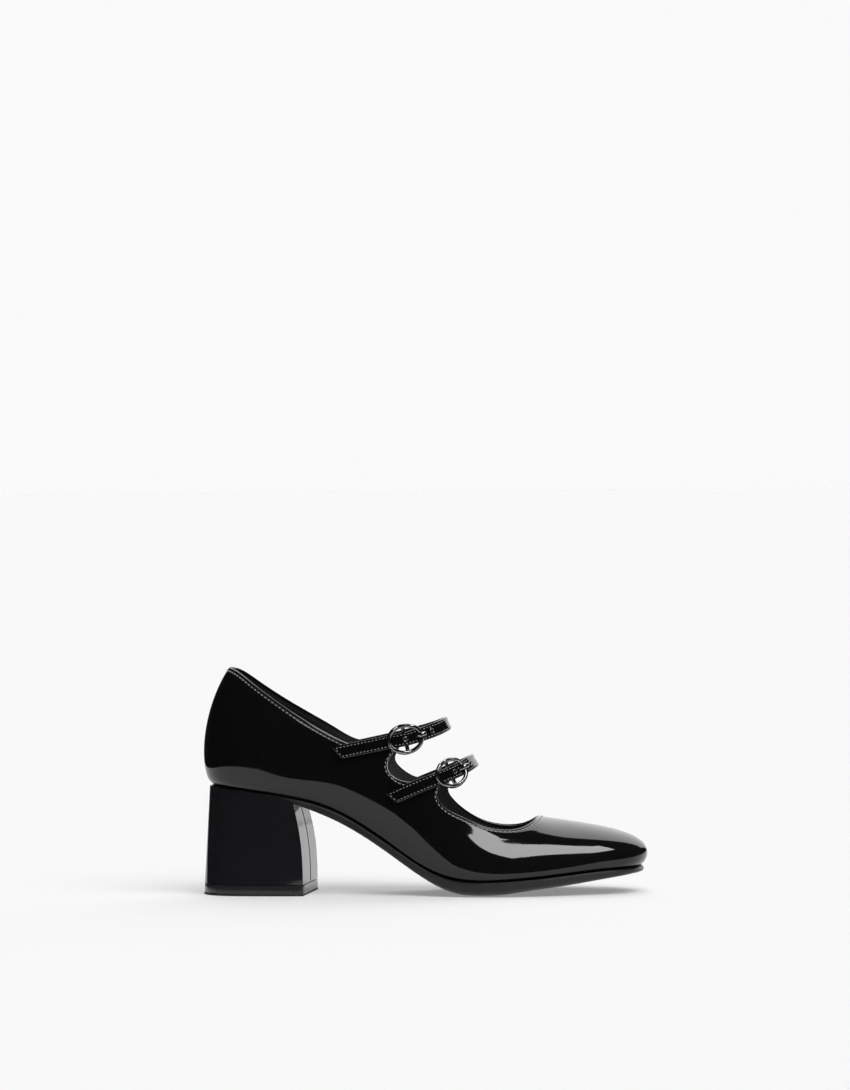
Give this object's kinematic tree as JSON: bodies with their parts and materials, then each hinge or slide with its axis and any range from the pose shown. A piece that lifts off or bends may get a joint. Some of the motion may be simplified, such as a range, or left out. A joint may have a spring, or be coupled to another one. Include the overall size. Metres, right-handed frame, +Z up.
{
  "type": "mary jane shoe",
  "caption": "Patent mary jane pump with slim buckled instep straps, an open throat, a squared toe and a covered block heel; a right shoe.",
  "frame": {"origin": "centre of the bounding box in plan, on the floor the heel and the tread rest on", "axes": "+X along the shoe from heel to toe, +Y to the inner side, +Z up"},
  "size_m": [0.2356, 0.0752, 0.1203],
  "materials": {
    "patent": "high gloss patent",
    "lining": "matt smooth",
    "outsole": "satin",
    "heel_cover": "high gloss patent",
    "top_piece": "matt",
    "gunmetal": "polished gunmetal"
  },
  "bodies": {
    "root": {"upper": "patent", "insole": "lining", "outsole": "outsole", "heel": "heel_cover", "heel_top_piece": "top_piece", "strap_rear": "patent", "strap_front": "patent", "buckle_rear": "gunmetal", "buckle_front": "gunmetal", "prong_rear": "gunmetal", "prong_front": "gunmetal"}
  },
  "joints": []
}
